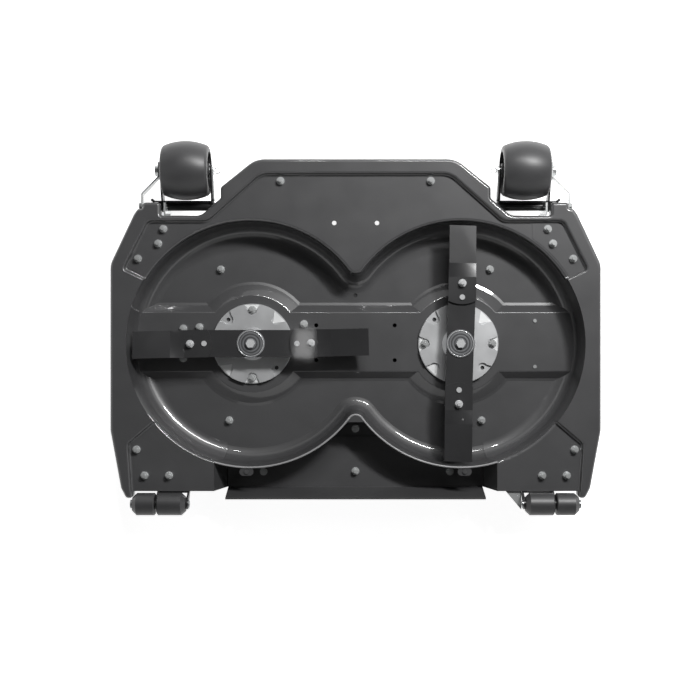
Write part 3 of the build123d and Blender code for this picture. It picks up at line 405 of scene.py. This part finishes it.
class DECK_OT_washer_rims(bpy.types.Operator):
    """Turned bevel round each hub washer, coloured bright all round as a painted highlight"""

    bl_idname = "deck.washer_rims"
    bl_label = "Washer rims"

    def execute(self, context):
        settings = context.scene.deck
        for side, tag in ((1, "right"), (-1, "left")):
            bpy.ops.object.select_all(action="DESELECT")
            bpy.ops.mesh.primitive_torus_add(
                location=(side * settings.spindle_half, 0, settings.washer_z),
                major_radius=settings.rim_r,
                minor_radius=settings.rim_thick,
                major_segments=96,
                minor_segments=10,
            )
            bpy.ops.object.shade_smooth()
            # Bright accent: a painted highlight on the washer's bevel
            settle(context.object, f"washer_rim_{tag}", "dark_bolts", f"blade_{tag}", "washer_rims")
        return {"FINISHED"}


class DECK_OT_welds(bpy.types.Operator):
    """Weld beads where the fork arms meet their tube"""

    bl_idname = "deck.welds"
    bl_label = "Welds"

    def execute(self, context):
        settings = context.scene.deck
        for side, tag in ((1, "right"), (-1, "left")):
            beads = []
            for x in WELD_X:
                bpy.ops.object.select_all(action="DESELECT")
                bpy.ops.mesh.primitive_torus_add(
                    location=(side * x, settings.weld_y, settings.weld_z),
                    rotation=(0, math.pi / 2, 0),
                    major_radius=settings.weld_r,
                    minor_radius=settings.weld_thick,
                    major_segments=40,
                    minor_segments=10,
                )
                bpy.ops.object.shade_smooth()
                beads.append(context.object)
            settle(joined(beads), f"fork_welds_{tag}", "black_paint")
        return {"FINISHED"}


class DECK_OT_stage(bpy.types.Operator):
    """Floor, lights, surround and camera"""

    bl_idname = "deck.stage"
    bl_label = "Stage"

    def execute(self, context):
        settings = context.scene.deck
        bpy.ops.object.select_all(action="DESELECT")
        bpy.ops.mesh.primitive_plane_add(size=2 * settings.floor_half)
        floor = context.object
        floor.name = "floor"
        tree, shown = shown_only("paper", floor)
        matt = add_node(tree, "ShaderNodeBsdfDiffuse", {"Color": linear("#f2f2f2")})
        glow = add_node(tree, "ShaderNodeMath", {0: shown, 1: settings.floor_glow}, operation="MULTIPLY")
        lit = add_node(tree, "ShaderNodeEmission", {"Strength": glow.outputs[0]})
        both = add_node(tree, "ShaderNodeAddShader", {0: matt.outputs[0], 1: lit.outputs[0]})
        add_node(tree, "ShaderNodeOutputMaterial", {"Surface": both.outputs[0]})

        bpy.ops.object.select_all(action="DESELECT")
        bpy.ops.mesh.primitive_cylinder_add(
            vertices=96,
            radius=settings.floor_half,
            depth=settings.wall_high,
            end_fill_type="NOTHING",
            location=(0, 0, settings.wall_high / 2),
        )
        wall = context.object
        wall.name = "backdrop"
        bpy.ops.object.transform_apply(location=True, rotation=True, scale=True)
        tree, shown = shown_only("backdrop", wall)
        lit = add_node(tree, "ShaderNodeEmission", {"Strength": shown})
        add_node(tree, "ShaderNodeOutputMaterial", {"Surface": lit.outputs[0]})

        world = bpy.data.worlds.new("surround")
        context.scene.world = world
        world.use_nodes = True
        world.node_tree.nodes["Background"].inputs["Color"].default_value = linear("#202020")

        middle = Vector((0, 0, 0.1))
        for name, turn, rise, power, long, broad in LAMPS:
            light = bpy.data.lights.new(name, "AREA")
            light.shape = "RECTANGLE"
            light.size = long
            light.size_y = broad
            light.energy = power * settings.lamp_level
            lamp = bpy.data.objects.new(name, light)
            context.collection.objects.link(lamp)
            flat = math.cos(math.radians(rise))
            away = Vector((
                flat * math.cos(math.radians(turn)),
                flat * math.sin(math.radians(turn)),
                math.sin(math.radians(rise)),
            ))
            lamp.location = middle + away * settings.lamp_reach
            lamp.rotation_euler = (-away).to_track_quat("-Z", "Y").to_euler()

        eye = bpy.data.cameras.new("eye")
        eye.lens = settings.lens
        eye.sensor_width = 36
        eye.clip_end = 100
        camera = bpy.data.objects.new("eye", eye)
        context.collection.objects.link(camera)
        camera.location = (settings.camera_x, settings.camera_y, settings.camera_height)
        context.scene.camera = camera
        context.scene.view_settings.view_transform = "Standard"
        return {"FINISHED"}


class DECK_PT_panel(bpy.types.Panel):
    """Buttons and sizes for the deck"""

    bl_label = "Deck"
    bl_idname = "DECK_PT_panel"
    bl_space_type = "VIEW_3D"
    bl_region_type = "UI"
    bl_category = "Deck"

    def draw(self, context):
        for name in DeckSettings.__annotations__:
            self.layout.prop(context.scene.deck, name)
        for operator in OPERATORS:
            self.layout.operator(operator.bl_idname)


OPERATORS = (
    DECK_OT_finishes,
    DECK_OT_plug_lip,
    DECK_OT_corner_plate,
    DECK_OT_pocket_floors,
    DECK_OT_washer_rims,
    DECK_OT_welds,
    DECK_OT_stage,
)
CLASSES = (DeckSettings, *OPERATORS, DECK_PT_panel)


def register():
    for cls in CLASSES:
        bpy.utils.register_class(cls)
    bpy.types.Scene.deck = bpy.props.PointerProperty(type=DeckSettings)


def unregister():
    del bpy.types.Scene.deck
    for cls in reversed(CLASSES):
        bpy.utils.unregister_class(cls)


def main():
    register()
    bpy.ops.deck.finishes()
    bpy.ops.deck.plug_lip()
    bpy.ops.deck.corner_plate()
    bpy.ops.deck.pocket_floors()
    bpy.ops.deck.washer_rims()
    bpy.ops.deck.welds()
    bpy.ops.deck.stage()


if __name__ == "__main__":
    main()
